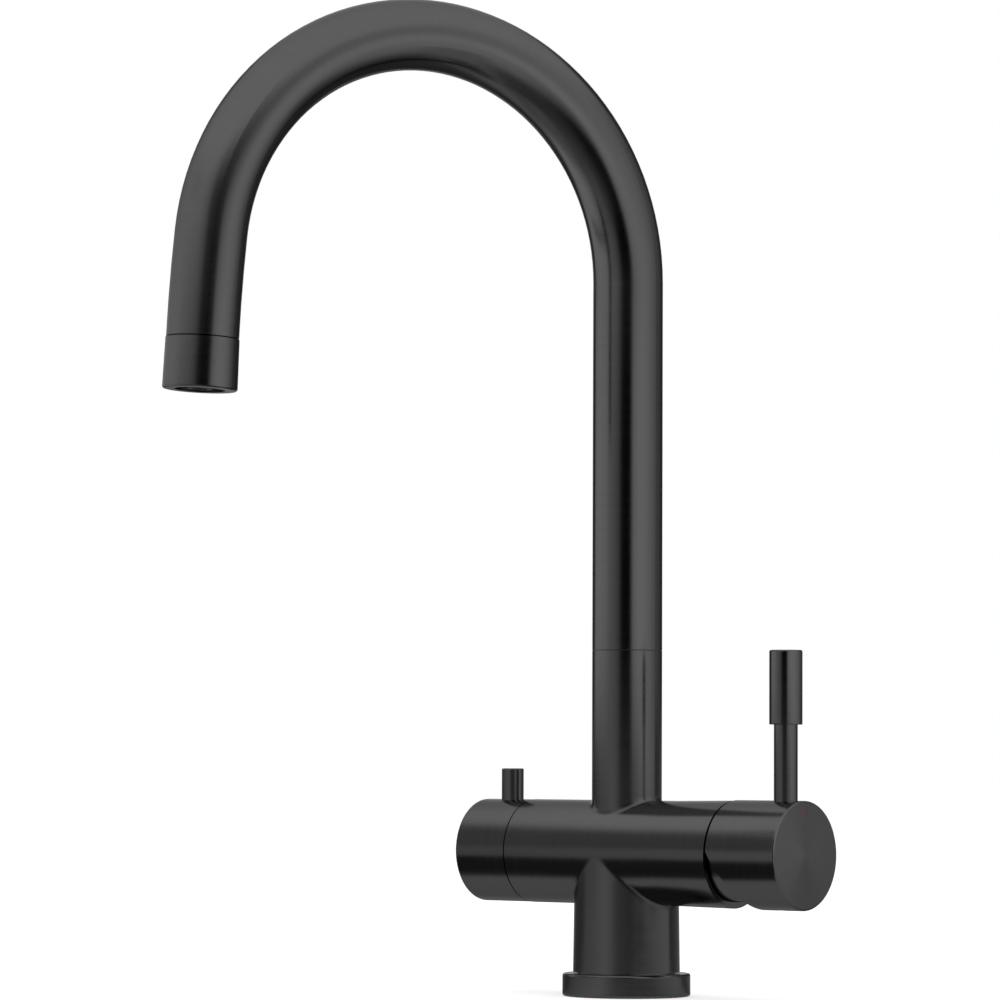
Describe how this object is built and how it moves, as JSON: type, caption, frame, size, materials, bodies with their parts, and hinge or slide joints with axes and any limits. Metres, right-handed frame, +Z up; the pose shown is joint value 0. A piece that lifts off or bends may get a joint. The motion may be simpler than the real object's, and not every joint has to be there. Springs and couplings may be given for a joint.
{
  "type": "filtered water kitchen tap",
  "caption": "Three-way kitchen mixer tap with a swivelling J-shaped spout, a tilting side lever for mixed water and a quarter-turn side knob for filtered water.",
  "frame": {"origin": "centre of the tap's foot, in the plane that stands on the worktop", "axes": "+Z up along the column, X along the barrel with the mixer lever at +X, -Y towards the user"},
  "size_m": [0.1698, 0.2139, 0.387],
  "materials": {
    "dark_metal": "brushed dark grey coating on brass and steel",
    "brass": "machined",
    "steel": "bright stainless",
    "ceramic": "lapped alumina",
    "black_rubber": "smooth",
    "black_plastic": "moulded",
    "grey_plastic": "moulded acetal",
    "white_plastic": "drawn tube",
    "nozzle_plastic": "moulded"
  },
  "bodies": {
    "tap": {"tap_body": "dark_metal", "deck_flange": "dark_metal", "flange_gasket": "black_rubber", "cartridge_base": "grey_plastic", "cartridge_port_seals": "black_rubber", "mixer_fixed_disc": "ceramic", "cartridge_housing": "grey_plastic", "retaining_nut": "brass", "cover_ring": "dark_metal", "headwork_body": "brass", "headwork_seal": "black_rubber", "filter_seat_seal": "black_rubber", "filter_fixed_disc": "ceramic", "slip_ring": "grey_plastic", "spout_stop_screw": "steel"},
    "rotor": {"cartridge_rotor": "grey_plastic", "lever_pivot_pin": "steel"},
    "mixer_lever": {"mixer_cap": "dark_metal", "lever_rod": "dark_metal", "lever_grip": "dark_metal", "mixer_grub_screw": "steel", "cartridge_stem": "steel"},
    "mixer_slider": {"mixer_moving_disc": "ceramic", "disc_carrier": "grey_plastic"},
    "filter_lever": {"filter_cap": "dark_metal", "filter_lever_pin": "dark_metal", "filter_grub_screw": "steel", "filter_spindle": "brass", "spindle_seals": "black_rubber", "spindle_clip": "steel", "filter_moving_disc": "ceramic"},
    "spout": {"spout_tube": "dark_metal", "spout_tail": "brass", "tail_rings": "black_rubber", "swivel_washer": "black_plastic", "filter_tube": "white_plastic", "filter_tube_seal": "black_rubber", "outlet_sleeve": "dark_metal", "outlet_seal": "black_rubber", "aerator_sieve": "steel", "aerator_insert": "black_plastic", "filter_nozzle": "nozzle_plastic"}
  },
  "joints": [
    {"name": "spout_swivel", "type": "hinge", "parent": "tap", "child": "spout", "pos_m": [0, 0, 0.1356], "axis": [0, 0, 1], "range_deg": [-38.35, 81.65]},
    {"name": "temperature_turn", "type": "hinge", "parent": "tap", "child": "rotor", "pos_m": [0.0525, 0, 0.0563], "axis": [1, 0, 0], "range_deg": [-45, 45]},
    {"name": "flow_tilt", "type": "hinge", "parent": "rotor", "child": "mixer_lever", "pos_m": [0.0525, 0, 0.0563], "axis": [0, 1, 0], "range_deg": [0, 25]},
    {"name": "disc_slide", "type": "slide", "parent": "rotor", "child": "mixer_slider", "axis": [0, 0, 1], "range_m": [-0.00005, 0.0049]},
    {"name": "filter_turn", "type": "hinge", "parent": "tap", "child": "filter_lever", "pos_m": [-0.0457, 0, 0.0563], "axis": [1, 0, 0], "range_deg": [0, 90]}
  ],
  "couplings": [
    {"joint": "disc_slide", "follows": "flow_tilt", "m_per_rad": 0.010913}
  ]
}
